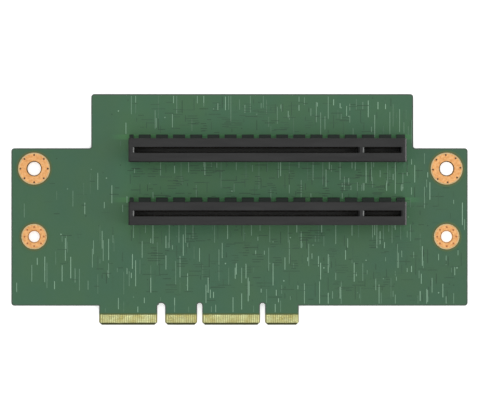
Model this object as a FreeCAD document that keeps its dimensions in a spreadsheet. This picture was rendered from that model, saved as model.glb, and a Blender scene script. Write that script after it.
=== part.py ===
"""Riser card for a server: a stepped circuit board with two card slots.

The board lies flat, its slots pointing up (+Z) and its edge fingers towards -Y.
The origin is under the middle of the card, level with the tips of the solder joints.
Every sub-part is drawn in a local frame that starts at its own lowest corner, and a
placement bound to the sheet carries it to its seat. All sizes are millimetres.
"""
import FreeCAD, Part
import os
import re
import Sketcher

SIZES = [
    ("board_height", 50.95, "lower edge to the shoulders"),
    ("board_thickness", 1.6, "laminate with its copper and mask"),
    ("block_left", 25.85, "left edge to the raised middle block"),
    ("block_width", 104.2, "raised middle block"),
    ("block_right", 17.6, "raised middle block to the right edge"),
    ("block_height", 17.53, "shoulders to the top of the block"),
    ("outer_corner", 1.0, "radius of the board's outer corners"),
    ("inner_corner", 0.7, "radius where the block meets the shoulders"),
    ("tongue_left", 28.4, "left edge to the first edge tab"),
    ("tongue_depth", 6.2, "how far the tabs reach below the board"),
    ("tab_one", 18.8, "width of the first tab"),
    ("tab_two", 10.35, "width of the second tab"),
    ("tab_three", 18.7, "width of the third tab"),
    ("tab_four", 10.9, "width of the fourth tab"),
    ("key_wide", 2.55, "gap after the first tab"),
    ("key_narrow", 1.65, "gap after the second and third tabs"),
    ("key_overcut", 0.85, "how far a gap runs up into the board"),
    ("tab_corner", 0.85, "chamfer of the tabs' lower corners"),
    ("bevel_height", 0.7, "bevel of the tabs, along the board"),
    ("bevel_depth", 0.35, "bevel of the tabs, into each face"),
    ("plating", 0.08, "fingers and rings above the laminate"),
    ("finger_pitch", 0.6, "finger to finger"),
    ("finger_width", 0.4, "one finger"),
    ("finger_length", 2.6, "one finger, above the bevel"),
    ("finger_margin", 0.42, "least bare laminate beside the fingers"),
    ("hole_left", 7.37, "left edge to the left mounting holes"),
    ("hole_right", 6.8, "right edge to the right mounting holes"),
    ("hole_high", 6.6, "shoulders down to the upper mounting holes"),
    ("hole_rise", 22.0, "lower to upper mounting holes"),
    ("big_hole", 4.4, "bore of an upper ring"),
    ("big_ring", 10.33, "outside of an upper ring"),
    ("small_hole", 3.6, "bore of a lower ring"),
    ("small_ring", 8.25, "outside of a lower ring"),
    ("barrel_wall", 0.12, "plated wall inside a mounting hole"),
    ("slot_right", 2.77, "right end of both housings to the end of the block"),
    ("slot_low", 29.87, "lower edge to the lower slot's centre line"),
    ("slot_pitch", 20.32, "slot to slot"),
    ("housing_width", 7.5, "slot housing, across"),
    ("housing_rise", 11.25, "slot housing above the board"),
    ("housing_edge", 0.2, "chamfer along the housing's top"),
    ("housing_end_edge", 0.45, "chamfer across the housing's two ends"),
    ("end_wall", 1.8, "housing's end to the slot"),
    ("long_slot", 71.8, "slot for the card's long tab"),
    ("short_slot", 11.8, "slot for the card's short tab"),
    ("key_rib", 1.8, "rib between the two slots"),
    ("slot_gap", 1.8, "slot across, below the lead-in"),
    ("slot_floor", 2.3, "floor under the slot"),
    ("slot_lip", 1.4, "lip over the contact channels"),
    ("side_lead", 0.14, "lead-in along the slot's sides"),
    ("end_lead", 0.5, "lead-in at the slot's ends"),
    ("rail_reach", 1.4, "foot rail, out from the housing's side"),
    ("rail_rise", 2.4, "foot rail above the board"),
    ("rail_pitch", 5.55, "gap to gap along the foot rail"),
    ("rail_gap", 1.7, "gap between two feet"),
    ("rail_start", 1.3, "housing's end to the first gap"),
    ("foot_corner", 0.3, "chamfer on the top edge of the feet"),
    ("peg_width", 2.3, "locating peg under the housing"),
    ("peg_length", 1.4, "locating peg into the board"),
    ("peg_end", 1.45, "housing's left end to the end peg"),
    ("peg_clearance", 0.1, "peg to its hole, all round"),
    ("contact_pitch", 1.0, "contact to contact"),
    ("contact_width", 0.6, "one contact along the slot"),
    ("contact_metal", 0.34, "contact strip across its crest, from which it tapers both ways"),
    ("contact_foot", 2.0, "slot's centre to a contact's foot"),
    ("contact_bow", 0.5, "slot's centre to the crest of a contact"),
    ("contact_crest", 2.5, "crest of a contact below its tip"),
    ("contact_tip", 1.7, "slot's centre to the tip of a contact"),
    ("tip_clearance", 0.35, "tip of a contact below the lip"),
    ("contact_clearance", 0.12, "contact to the channel behind it"),
    ("joint_inner", 1.0, "slot's centre to the inner solder rows"),
    ("joint_outer", 3.0, "slot's centre to the outer solder rows"),
    ("joint_base", 1.1, "solder joint where it wets the board"),
    ("joint_height", 1.0, "solder joint below the board"),
]
NAMES = {alias for alias, number, note in SIZES}

# Formulas used in more than one place, written with the sheet's names.
WIDTH = "(block_left + block_width + block_right)"
DEPTH = "(tongue_depth + board_height + block_height)"
TONGUE_END = "(tongue_left + tab_one + key_wide + tab_two + key_narrow * 2 + tab_three + tab_four)"
KEYS = [
    ("tongue_left + tab_one", "key_wide"),
    ("tongue_left + tab_one + key_wide + tab_two", "key_narrow"),
    ("tongue_left + tab_one + key_wide + tab_two + key_narrow + tab_three", "key_narrow"),
]
TABS = [
    ("first", "tongue_left", "tab_one"),
    ("second", "tongue_left + tab_one + key_wide", "tab_two"),
    ("third", "tongue_left + tab_one + key_wide + tab_two + key_narrow", "tab_three"),
    ("fourth", "tongue_left + tab_one + key_wide + tab_two + key_narrow * 2 + tab_three", "tab_four"),
]
HIGH_ROW = "tongue_depth + board_height - hole_high"
LOW_ROW = HIGH_ROW + " - hole_rise"
RINGS = [
    ("mounting_ring_upper_left", "hole_left", HIGH_ROW, "big_hole", "big_ring"),
    ("mounting_ring_upper_right", WIDTH + " - hole_right", HIGH_ROW, "big_hole", "big_ring"),
    ("mounting_ring_lower_left", "hole_left", LOW_ROW, "small_hole", "small_ring"),
    ("mounting_ring_lower_right", WIDTH + " - hole_right", LOW_ROW, "small_hole", "small_ring"),
]
SLOTS = [
    ("lower_slot", "tongue_depth + slot_low"),
    ("upper_slot", "tongue_depth + slot_low + slot_pitch"),
]
HOUSING_LENGTH = "(end_wall * 2 + long_slot + key_rib + short_slot)"
HOUSING_LEFT = "block_left + block_width - slot_right - " + HOUSING_LENGTH
PEGS = ["peg_end", "end_wall + long_slot + key_rib / 2"]
CHANNEL = "(contact_foot + contact_clearance)"
TIP_LEVEL = "(housing_rise - slot_lip - tip_clearance)"
TIP_DOWN = FreeCAD.Rotation(FreeCAD.Vector(1, 0, 0), 180)
RUNS = [
    ("long", "end_wall", "long_slot", "floor((long_slot - contact_width) / contact_pitch)"),
    ("short", "end_wall + long_slot + key_rib", "short_slot",
     "floor((short_slot - contact_width) / contact_pitch)"),
]

doc = FreeCAD.newDocument("riser_card")
sheet = doc.addObject("Spreadsheet::Sheet", "sizes")
for row, (alias, number, note) in enumerate(SIZES, start=1):
    sheet.set(f"A{row}", note)
    sheet.set(f"B{row}", str(number))
    sheet.setAlias(f"B{row}", alias)
doc.recompute()


def bound(formula):
    """Points each of the sheet's names in a formula at its cell."""
    return re.sub("[a-z_]+", lambda word: word.group() if word.group() not in NAMES
                  else "sizes." + word.group(), formula)


def worked_out(formula):
    """The number that a formula gives with the sheet as it stands."""
    return float(sheet.evalExpression(bound(formula)))


def new_body(label, x, y, z):
    """A body whose local frame sits at (x, y, z), measured from the card's lower left."""
    body = doc.addObject("PartDesign::Body", label)
    body.Label = label
    body.AllowCompound = True
    body.setExpression("Placement.Base.x", bound(f"{x} - {WIDTH} / 2"))
    body.setExpression("Placement.Base.y", bound(f"{y} - {DEPTH} / 2"))
    body.setExpression("Placement.Base.z", bound(z))
    return body


def origin_part(body, role):
    """One of the body's own planes or axes."""
    return next(item for item in body.Origin.OriginFeatures if item.Role == role)


def new_sketch(body, name, role="XY_Plane", level="0"):
    """A sketch on one of the body's planes, raised along the plane's normal."""
    sketch = body.newObject("Sketcher::SketchObject", name)
    sketch.AttachmentSupport = [(origin_part(body, role), "")]
    sketch.MapMode = "FlatFace"
    sketch.setExpression("AttachmentOffset.Base.z", bound(level))
    return sketch


def hold(sketch, name, kind, geometry, point, formula):
    """Holds one coordinate of a point with a named size bound to the sheet."""
    sketch.addConstraint(Sketcher.Constraint(kind, -1, 1, geometry, point, worked_out(formula)))
    sketch.renameConstraint(sketch.ConstraintCount - 1, name)
    sketch.setExpression("Constraints." + name, bound(formula))


def draw_outline(sketch, name, corners):
    """A closed outline of straight lines through the corners."""
    spots = [FreeCAD.Vector(worked_out(x), worked_out(y), 0) for x, y in corners]
    first = sketch.GeometryCount
    for start, end in zip(spots, spots[1:] + spots[:1]):
        sketch.addGeometry(Part.LineSegment(start, end), False)
    for index, (x, y) in enumerate(corners):
        before = first + (index - 1) % len(corners)
        sketch.addConstraint(Sketcher.Constraint("Coincident", before, 2, first + index, 1))
        hold(sketch, f"{name}_{index}_across", "DistanceX", first + index, 1, x)
        hold(sketch, f"{name}_{index}_up", "DistanceY", first + index, 1, y)


def draw_rectangle(sketch, name, x, y, width, height):
    """A rectangle from its lower left corner."""
    right = f"{x} + {width}"
    top = f"{y} + {height}"
    draw_outline(sketch, name, [(x, y), (right, y), (right, top), (x, top)])


def draw_circle(sketch, name, x, y, width):
    """A circle about a centre, held by its diameter."""
    middle = FreeCAD.Vector(worked_out(x), worked_out(y), 0)
    radius = worked_out(width) / 2
    circle = sketch.addGeometry(Part.Circle(middle, FreeCAD.Vector(0, 0, 1), radius), False)
    hold(sketch, f"{name}_across", "DistanceX", circle, 3, x)
    hold(sketch, f"{name}_up", "DistanceY", circle, 3, y)
    sketch.addConstraint(Sketcher.Constraint("Diameter", circle, radius * 2))
    sketch.renameConstraint(sketch.ConstraintCount - 1, name + "_width")
    sketch.setExpression(f"Constraints.{name}_width", bound(width))


def extrude(body, kind, name, sketch, length, flipped=False):
    """A pad or pocket of a sketch; a pocket runs against the sketch's normal."""
    feature = body.newObject("PartDesign::" + kind, name)
    feature.Profile = sketch
    feature.setExpression("Length", bound(length))
    feature.Reversed = flipped
    return feature


def repeat(body, name, original, step, count):
    """Copies of a feature in a line along X."""
    pattern = body.newObject("PartDesign::LinearPattern", name)
    pattern.Originals = [original]
    pattern.Direction = (origin_part(body, "X_Axis"), [""])
    pattern.setExpression("Length", bound(f"{step} * ({count} - 1)"))
    pattern.setExpression("Occurrences", bound(count))
    body.Tip = pattern


def round_edges(body, kind, name, picks, amount, size_name):
    """A fillet or chamfer on the picked edges of the body so far."""
    doc.recompute()
    base = body.Tip
    edges = [f"Edge{number}" for number, edge in enumerate(base.Shape.Edges, start=1) if picks(edge)]
    feature = body.newObject("PartDesign::" + kind, name)
    feature.Base = (base, edges)
    feature.setExpression(size_name, bound(amount))
    body.Tip = feature


def long_edges(level):
    """Picks the edges that run along X at one level."""
    height = worked_out(level)

    def picks(edge):
        ends = [vertex.Point for vertex in edge.Vertexes]
        return abs(ends[0].y - ends[-1].y) < 1e-4 and all(abs(end.z - height) < 1e-4 for end in ends)

    return picks


def uprights(corners):
    """Picks the upright edges that stand at the corners."""
    spots = [(worked_out(x), worked_out(y)) for x, y in corners]

    def picks(edge):
        ends = [vertex.Point for vertex in edge.Vertexes]
        if len(ends) != 2 or abs(ends[0].x - ends[1].x) + abs(ends[0].y - ends[1].y) > 1e-4:
            return False
        return any(abs(ends[0].x - x) + abs(ends[0].y - y) < 1e-3 for x, y in spots)

    return picks


def make_board():
    """The laminate: one stepped outline, four bevelled tabs, drilled for rings and pegs."""
    body = new_body("circuit_board", "0", "0", "joint_height")
    low = "tongue_depth"
    shoulder = "tongue_depth + board_height"
    block_end = "block_left + block_width"
    outline = new_sketch(body, "board_outline")
    draw_outline(outline, "edge", [
        ("tongue_left", "0"), (TONGUE_END, "0"), (TONGUE_END, low), (WIDTH, low),
        (WIDTH, shoulder), (block_end, shoulder), (block_end, DEPTH),
        ("block_left", DEPTH), ("block_left", shoulder), ("0", shoulder), ("0", low),
        ("tongue_left", low)])
    extrude(body, "Pad", "laminate", outline, "board_thickness")

    sides = new_sketch(body, "key_sides", level="board_thickness")
    ends = new_sketch(body, "key_ends", level="board_thickness")
    for number, (left, width) in enumerate(KEYS):
        arc_level = f"tongue_depth + key_overcut - {width} / 2"
        draw_rectangle(sides, f"key{number}", left, "0", width, arc_level)
        draw_circle(ends, f"key{number}", f"{left} + {width} / 2", arc_level, width)
    extrude(body, "Pocket", "key_gaps", sides, "board_thickness")
    extrude(body, "Pocket", "key_round_ends", ends, "board_thickness")

    tab_corners = [(f"{left} + {shift}", "0") for name, left, width in TABS for shift in ("0", width)]
    outer = [("0", low), ("0", shoulder), (WIDTH, low), (WIDTH, shoulder),
             ("block_left", DEPTH), (block_end, DEPTH)]
    inner = [("block_left", shoulder), (block_end, shoulder)]
    round_edges(body, "Chamfer", "tab_corners", uprights(tab_corners), "tab_corner", "Size")
    round_edges(body, "Fillet", "outer_corners", uprights(outer), "outer_corner", "Radius")
    round_edges(body, "Fillet", "inner_corners", uprights(inner), "inner_corner", "Radius")

    bevel = new_sketch(body, "tab_bevel", "YZ_Plane")
    draw_outline(bevel, "back", [("0", "0"), ("bevel_height", "0"), ("0", "bevel_depth")])
    draw_outline(bevel, "front", [("0", "board_thickness"), ("0", "board_thickness - bevel_depth"),
                                  ("bevel_height", "board_thickness")])
    extrude(body, "Pocket", "tab_bevels", bevel, WIDTH, flipped=True)

    holes = new_sketch(body, "drilled_holes", level="board_thickness")
    for name, x, y, bore, ring in RINGS:
        draw_circle(holes, name, x, y, f"{bore} + barrel_wall * 2")
    for name, row in SLOTS:
        for number, peg in enumerate(PEGS):
            draw_circle(holes, f"{name}_peg{number}", f"{HOUSING_LEFT} + {peg}", row,
                        "peg_width + peg_clearance * 2")
    extrude(body, "Pocket", "holes", holes, "board_thickness")
    return body


def make_ring(name, x, y, bore, ring):
    """A plated mounting hole: a land on each face and the barrel that joins them."""
    body = new_body(name, x, y, "joint_height - plating")
    section = new_sketch(body, name + "_section", "XZ_Plane")
    wall = f"{bore} / 2 + barrel_wall"
    face = "board_thickness + plating"
    top = "board_thickness + plating * 2"
    draw_outline(section, "land", [
        (f"{bore} / 2", "0"), (f"{ring} / 2", "0"), (f"{ring} / 2", "plating"), (wall, "plating"),
        (wall, face), (f"{ring} / 2", face), (f"{ring} / 2", top), (f"{bore} / 2", top)])
    turned = body.newObject("PartDesign::Revolution", name + "_turned")
    turned.Profile = section
    turned.ReferenceAxis = (section, ["V_Axis"])
    turned.Angle = 360
    return body


def make_fingers(name, left, width, level):
    """The row of plated fingers on one face of a tab, centred on it."""
    body = new_body(name, left, "0", level)
    count = f"(floor(({width} - finger_margin * 2 - finger_width) / finger_pitch) + 1)"
    start = f"({width} - finger_width - finger_pitch * ({count} - 1)) / 2"
    sketch = new_sketch(body, name + "_land")
    draw_rectangle(sketch, "finger", start, "bevel_height", "finger_width", "finger_length")
    finger = extrude(body, "Pad", name + "_finger", sketch, "plating")
    repeat(body, name + "_row", finger, "finger_pitch", count)
    return body


def make_housing(name, row):
    """The moulded slot housing, with its lips, contact channels, foot rail and pegs."""
    body = new_body(name + "_housing", HOUSING_LEFT, f"{row} - housing_width / 2",
                    "joint_height + board_thickness")
    middle = "housing_width / 2"
    block = new_sketch(body, name + "_block", "XZ_Plane")
    draw_outline(block, "block", [
        ("0", "0"), (HOUSING_LENGTH, "0"), (HOUSING_LENGTH, "housing_rise - housing_end_edge"),
        (f"{HOUSING_LENGTH} - housing_end_edge", "housing_rise"), ("housing_end_edge", "housing_rise"),
        ("0", "housing_rise - housing_end_edge")])
    extrude(body, "Pad", name + "_moulding", block, "housing_width", flipped=True)
    round_edges(body, "Chamfer", name + "_edges", long_edges("housing_rise"), "housing_edge", "Size")

    slots = new_sketch(body, name + "_mouths", level="housing_rise")
    channels = new_sketch(body, name + "_recesses", level="housing_rise - slot_lip")
    for run, left, length, count in RUNS:
        draw_rectangle(slots, run, left, f"{middle} - slot_gap / 2", length, "slot_gap")
        depth = f"({CHANNEL} - slot_gap / 2)"
        draw_rectangle(channels, run + "_a", left, f"{middle} + slot_gap / 2", length, depth)
        draw_rectangle(channels, run + "_b", left, f"{middle} - {CHANNEL}", length, depth)
    extrude(body, "Pocket", name + "_slots", slots, "housing_rise - slot_floor")
    extrude(body, "Pocket", name + "_channels", channels, "housing_rise - slot_lip")

    ends = new_sketch(body, name + "_end_leads", "XZ_Plane", f"-{middle}")
    for run, left, length, count in RUNS:
        sides = new_sketch(body, f"{name}_{run}_side_leads", "YZ_Plane", left)
        for part, sign in (("far", "+"), ("near", "-")):
            lip = f"{middle} {sign} slot_gap / 2"
            draw_outline(sides, part, [(lip, "housing_rise"), (lip, "housing_rise - side_lead"),
                                       (f"{lip} {sign} side_lead", "housing_rise")])
        extrude(body, "Pocket", f"{name}_{run}_side_ramps", sides, length, flipped=True)
        right = f"{left} + {length}"
        draw_outline(ends, run + "_left", [
            (left, "housing_rise"), (f"{left} - end_lead", "housing_rise"),
            (left, "housing_rise - end_lead")])
        draw_outline(ends, run + "_right", [
            (right, "housing_rise"), (right, "housing_rise - end_lead"),
            (f"{right} + end_lead", "housing_rise")])
    ramps = extrude(body, "Pocket", name + "_end_ramps", ends, "slot_gap")
    ramps.Midplane = True

    rail = new_sketch(body, name + "_rail", "YZ_Plane")
    rim = "housing_width + rail_reach"
    draw_outline(rail, "rail", [
        ("housing_width", "0"), (rim, "0"), (rim, "rail_rise - foot_corner"),
        (f"{rim} - foot_corner", "rail_rise"), ("housing_width", "rail_rise")])
    extrude(body, "Pad", name + "_foot_rail", rail, HOUSING_LENGTH)
    gap = new_sketch(body, name + "_gap", level="rail_rise")
    draw_rectangle(gap, "gap", "rail_start", "housing_width", "rail_gap", "rail_reach")
    cut = extrude(body, "Pocket", name + "_foot_gap", gap, "rail_rise")
    gaps = f"(floor(({HOUSING_LENGTH} - rail_start - rail_gap) / rail_pitch) + 1)"
    repeat(body, name + "_foot_gaps", cut, "rail_pitch", gaps)

    pegs = new_sketch(body, name + "_peg_rounds")
    for number, peg in enumerate(PEGS):
        draw_circle(pegs, f"peg{number}", peg, middle, "peg_width")
    extrude(body, "Pad", name + "_pegs", pegs, "peg_length", flipped=True)
    return body


def make_contacts(name, row, side, sign):
    """One row of sprung contacts: foot on the board, crest in the slot, tip under the lip."""
    body = new_body(f"{name}_contacts_{side}", HOUSING_LEFT, f"{row} - housing_width / 2",
                    "joint_height + board_thickness")
    middle = f"housing_width / 2 {sign} "
    crest = TIP_LEVEL + " - contact_crest"
    profile = [(middle + "contact_foot", "0"), (middle + "contact_bow", crest),
               (middle + "contact_tip", TIP_LEVEL), (middle + "(contact_bow + contact_metal)", crest)]
    for run, left, length, count in RUNS:
        start = f"{left} + ({length} - contact_width - contact_pitch * ({count} - 1)) / 2"
        sketch = new_sketch(body, f"{name}_{side}_{run}_strip", "YZ_Plane", start)
        draw_outline(sketch, "strip", profile)
        strip = extrude(body, "Pad", f"{name}_{side}_{run}_contact", sketch, "contact_width")
        repeat(body, f"{name}_{side}_{run}_row", strip, "contact_pitch", count)
    return body


def make_joints(name, row):
    """The contacts' solder joints under the board, in four staggered rows.

    Each narrows from a square on the board to the tip of the tail inside it.
    """
    body = new_body(name + "_solder_joints", HOUSING_LEFT, f"{row} - housing_width / 2", "0")
    for run, left, length, count in RUNS:
        start = f"{left} + ({length} - contact_pitch * ({count} - 1)) / 2"
        for rank, offset, shift, copies in (
                ("outer", "joint_outer", "0", f"(floor(({count} - 1) / 2) + 1)"),
                ("inner", "joint_inner", "contact_pitch", f"floor({count} / 2)")):
            for part, sign in (("far", "+"), ("near", "-")):
                across = f"housing_width / 2 {sign} {offset}"
                joint = body.newObject("PartDesign::AdditiveWedge", f"{name}_{run}_{rank}_{part}")
                joint.AttachmentSupport = [(origin_part(body, "XZ_Plane"), "")]
                joint.MapMode = "FlatFace"
                joint.AttachmentOffset = FreeCAD.Placement(FreeCAD.Vector(), TIP_DOWN)
                joint.setExpression("AttachmentOffset.Base.x", bound(f"{start} + {shift}"))
                joint.setExpression("AttachmentOffset.Base.y", bound("joint_height"))
                joint.setExpression("AttachmentOffset.Base.z", bound(f"-({across})"))
                for limit, formula in (
                        ("Xmin", "-joint_base / 2"), ("Xmax", "joint_base / 2"),
                        ("Zmin", "-joint_base / 2"), ("Zmax", "joint_base / 2"),
                        ("X2min", "0"), ("X2max", "0"), ("Z2min", "0"), ("Z2max", "0"),
                        ("Ymin", "0"), ("Ymax", "joint_height")):
                    joint.setExpression(limit, bound(formula))
                repeat(body, f"{name}_{run}_{rank}_{part}_row", joint, "contact_pitch * 2", copies)
    return body


bodies = [make_board()]
bodies += [make_ring(*ring) for ring in RINGS]
for tab, left, width in TABS:
    bodies.append(make_fingers(f"front_fingers_{tab}_tab", left, width, "joint_height + board_thickness"))
    bodies.append(make_fingers(f"back_fingers_{tab}_tab", left, width, "joint_height - plating"))
for slot, row in SLOTS:
    bodies.append(make_housing(slot, row))
    bodies.append(make_contacts(slot, row, "far", "+"))
    bodies.append(make_contacts(slot, row, "near", "-"))
    bodies.append(make_joints(slot, row))
doc.recompute()

for item in doc.Objects:
    if "Invalid" in item.State or "Error" in item.State:
        raise RuntimeError(f"{item.Label} failed: {item.State}")
for body in bodies:
    if body.Shape.isNull() or not body.Shape.isValid():
        raise RuntimeError(f"{body.Label} has no valid shape")

os.makedirs("parts", exist_ok=True)
for body in bodies:
    body.Shape.exportStep(f"parts/{body.Label}.step")
    print(body.Label, len(body.Shape.Solids), "solids", round(body.Shape.Volume, 3), "mm3")
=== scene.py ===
import bmesh
import bpy
import math
from functools import partial
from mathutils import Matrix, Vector


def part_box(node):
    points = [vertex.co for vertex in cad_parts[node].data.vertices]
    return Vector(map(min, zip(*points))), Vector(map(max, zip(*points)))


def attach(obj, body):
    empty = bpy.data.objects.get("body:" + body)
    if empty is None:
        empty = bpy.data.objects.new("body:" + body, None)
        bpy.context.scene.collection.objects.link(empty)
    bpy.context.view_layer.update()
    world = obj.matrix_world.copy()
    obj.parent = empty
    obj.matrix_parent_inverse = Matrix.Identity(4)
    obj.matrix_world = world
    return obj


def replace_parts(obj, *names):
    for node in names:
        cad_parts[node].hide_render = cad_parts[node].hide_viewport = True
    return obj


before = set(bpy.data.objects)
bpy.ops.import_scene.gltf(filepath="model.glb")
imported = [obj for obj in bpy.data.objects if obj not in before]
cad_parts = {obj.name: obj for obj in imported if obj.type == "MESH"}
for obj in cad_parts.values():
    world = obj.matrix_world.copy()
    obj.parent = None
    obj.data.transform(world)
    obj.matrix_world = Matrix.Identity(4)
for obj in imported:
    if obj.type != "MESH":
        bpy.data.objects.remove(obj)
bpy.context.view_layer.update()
scene = bpy.context.scene
mm = 0.001
boardLow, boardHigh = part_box("circuit_board")


# small tools

def linear(hexColour):
    # an sRGB hex value as the linear colour that shaders take
    parts = [int(hexColour[i:i + 2], 16) / 255 for i in (0, 2, 4)]
    return [p / 12.92 if p <= 0.04045 else ((p + 0.055) / 1.055) ** 2.4 for p in parts] + [1.0]


def addNode(tree, kind, settings=None, inputs=None):
    # a node with its settings, and a value or a link for each input, by name or in order: a short
    # kind is a shader node, one word for the settings is the operation, "stops" fill a colour ramp,
    # and a node given as a value stands for its first output
    node = tree.nodes.new(kind if "Node" in kind else "ShaderNode" + kind)
    if isinstance(settings, str):
        settings = {"operation": settings}
    if isinstance(inputs, list):
        inputs = dict(enumerate(inputs))
    for name, value in (settings or {}).items():
        if name != "stops":
            setattr(node, name, value)
            continue
        elements = node.color_ramp.elements
        while len(elements) < len(value):
            elements.new(0.5)
        for element, (place, colour) in zip(elements, value):
            element.position = place
            element.color = colour
    for name, value in (inputs or {}).items():
        if isinstance(value, bpy.types.Node):
            value = value.outputs[0]
        if isinstance(value, bpy.types.NodeSocket):
            tree.links.new(value, node.inputs[name])
        else:
            node.inputs[name].default_value = value
    return node


# materials

# painted light on the mask: where it is lightened against the housings' shade (height up the board in
# millimetres, share), and how that colours it
maskLook = {
    "reach": 40,
    "paintedLightShare": [(-14, 0.0), (-9, 0.35), (-5, 0.8), (2.4, 0.9), (2.5, 3.2), (3.8, 3.2), (3.9, 0.9), (10, 0.85),
             (15, 1.0), (22.7, 0.9), (22.8, 3.2), (24.1, 3.2), (24.2, 0.9), (30, 0.5), (37, 0.3)],
    "middle": 8.95,       # millimetres along the board to the slots' middle
    "full": 43,
    "none": 52,
    "lift": (0.18, 0.27, 0.09),
    "leftTone": 1.03,
    "rightTone": 0.9,
}


def paintLightOnMask(tree, place, colour):
    # painted light: the mask is painted lighter and greener beside the slots and in the foot rails' gaps,
    # where the housings shade it, and it is made darker towards the right end
    add = partial(addNode, tree)
    spot = add("SeparateXYZ", inputs=[place])
    reach = maskLook["reach"]
    up = add("MapRange", inputs={
        "Value": spot.outputs["Y"], "From Min": -reach * mm, "From Max": reach * mm})
    stops = [(0.5 + y / reach / 2, (grey, grey, grey, 1.0)) for y, grey in maskLook["paintedLightShare"]]
    paintedLightShare = add("ValToRGB", {"stops": stops}, {"Fac": up})
    aside = add("Math", "SUBTRACT", [spot.outputs["X"], maskLook["middle"] * mm])
    away = add("Math", "ABSOLUTE", [aside])
    within = add("MapRange", {"interpolation_type": "SMOOTHSTEP"}, {
        "Value": away, "From Min": maskLook["full"] * mm, "From Max": maskLook["none"] * mm,
        "To Min": 1.0, "To Max": 0.0})
    share = add("Math", "MULTIPLY", [paintedLightShare, within])
    lift = add("VectorMath", "MULTIPLY_ADD", [share, maskLook["lift"], (1, 1, 1)])
    # darker towards the right end
    thick = add("MapRange", inputs={
        "Value": spot.outputs["X"], "From Min": boardLow.x, "From Max": boardHigh.x,
        "To Min": maskLook["leftTone"], "To Max": maskLook["rightTone"]})
    toned = add("VectorMath", "SCALE", {0: lift, "Scale": thick})
    final = add("VectorMath", "MULTIPLY", [colour, toned])
    return final.outputs[0]


# millimetres along the board: the ground bevel's upper edge and the fingers' upper end
tabLook = {
    "bevelFrom": -36.74,
    "fingersTo": -33.54,
    "colours": [(0.04, "393e16"), (0.05, "857f4a"), (0.84, "857f4a"), (0.85, "495c2c")],
}


def colourTabs(tree, place, colour):
    # clear resin shows yellower between the gold fingers, and olive where the bevel is ground
    add = partial(addNode, tree)
    along = add("SeparateXYZ", inputs=[place]).outputs["Y"]
    fingersTo = tabLook["fingersTo"] * mm
    reach = add("MapRange", inputs={
        "Value": along, "From Min": tabLook["bevelFrom"] * mm, "From Max": fingersTo})
    stops = [(at, linear(shade)) for at, shade in tabLook["colours"]]
    tabs = add("ValToRGB", {"stops": stops}, {"Fac": reach})
    within = add("Math", "LESS_THAN", [along, fingersTo])
    tint = add("Mix", {"data_type": "RGBA"}, {"Factor": within, "A": colour, "B": tabs})
    return tint.outputs["Result"]


# millimetres: how high the painted shade on the rail and the painted light on the slot's floor reach, where
# the face's own colour begins, and half the floor's width; the rail's dark green is painted shade with a
# painted reflection of the board
mouldLook = {"railTo": 5.2, "faceFrom": 6.4, "floorHalf": 0.93, "rail": "1b2720", "floor": "4c4c4a"}


def paintMouldingShadeAndLight(tree, place, colour):
    # painted shade: the foot rail and the low walls are painted dark and green, standing for their shade and
    # the board's green reflection; painted light: the slot's floor is painted paler than the rest
    add = partial(addNode, tree)
    spot = add("SeparateXYZ", inputs=[place])
    face = add("MapRange", inputs={
        "Value": spot.outputs["Z"], "From Min": mouldLook["railTo"] * mm,
        "From Max": mouldLook["faceFrom"] * mm})
    # the slots' middles, from their contacts
    lowSlot, highSlot = (
        (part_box(slot + "_slot_contacts_near")[0].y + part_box(slot + "_slot_contacts_far")[1].y) / 2
        for slot in ("lower", "upper"))
    half = (highSlot - lowSlot) / 2
    row = add("Math", "WRAP", [spot.outputs["Y"], lowSlot + half, lowSlot - half])
    off = add("Math", "SUBTRACT", [row, lowSlot])
    aside = add("Math", "ABSOLUTE", [off])
    paintedFloorLight = add("Math", "LESS_THAN", [aside, mouldLook["floorHalf"] * mm])
    paintedRailAndFloor = add("Mix", {"data_type": "RGBA"}, {
        "Factor": paintedFloorLight, "A": linear(mouldLook["rail"]), "B": linear(mouldLook["floor"])})
    tint = add("Mix", {"data_type": "RGBA"}, {
        "Factor": face, "A": paintedRailAndFloor.outputs["Result"], "B": colour})
    return tint.outputs["Result"]


# what the mask over each kind of strip has in common
overStrip = {"attribute": "tone", "grains": [(0.8, 2.0)], "share": 0.3, "at": (0.0, 1.0)}

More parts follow.
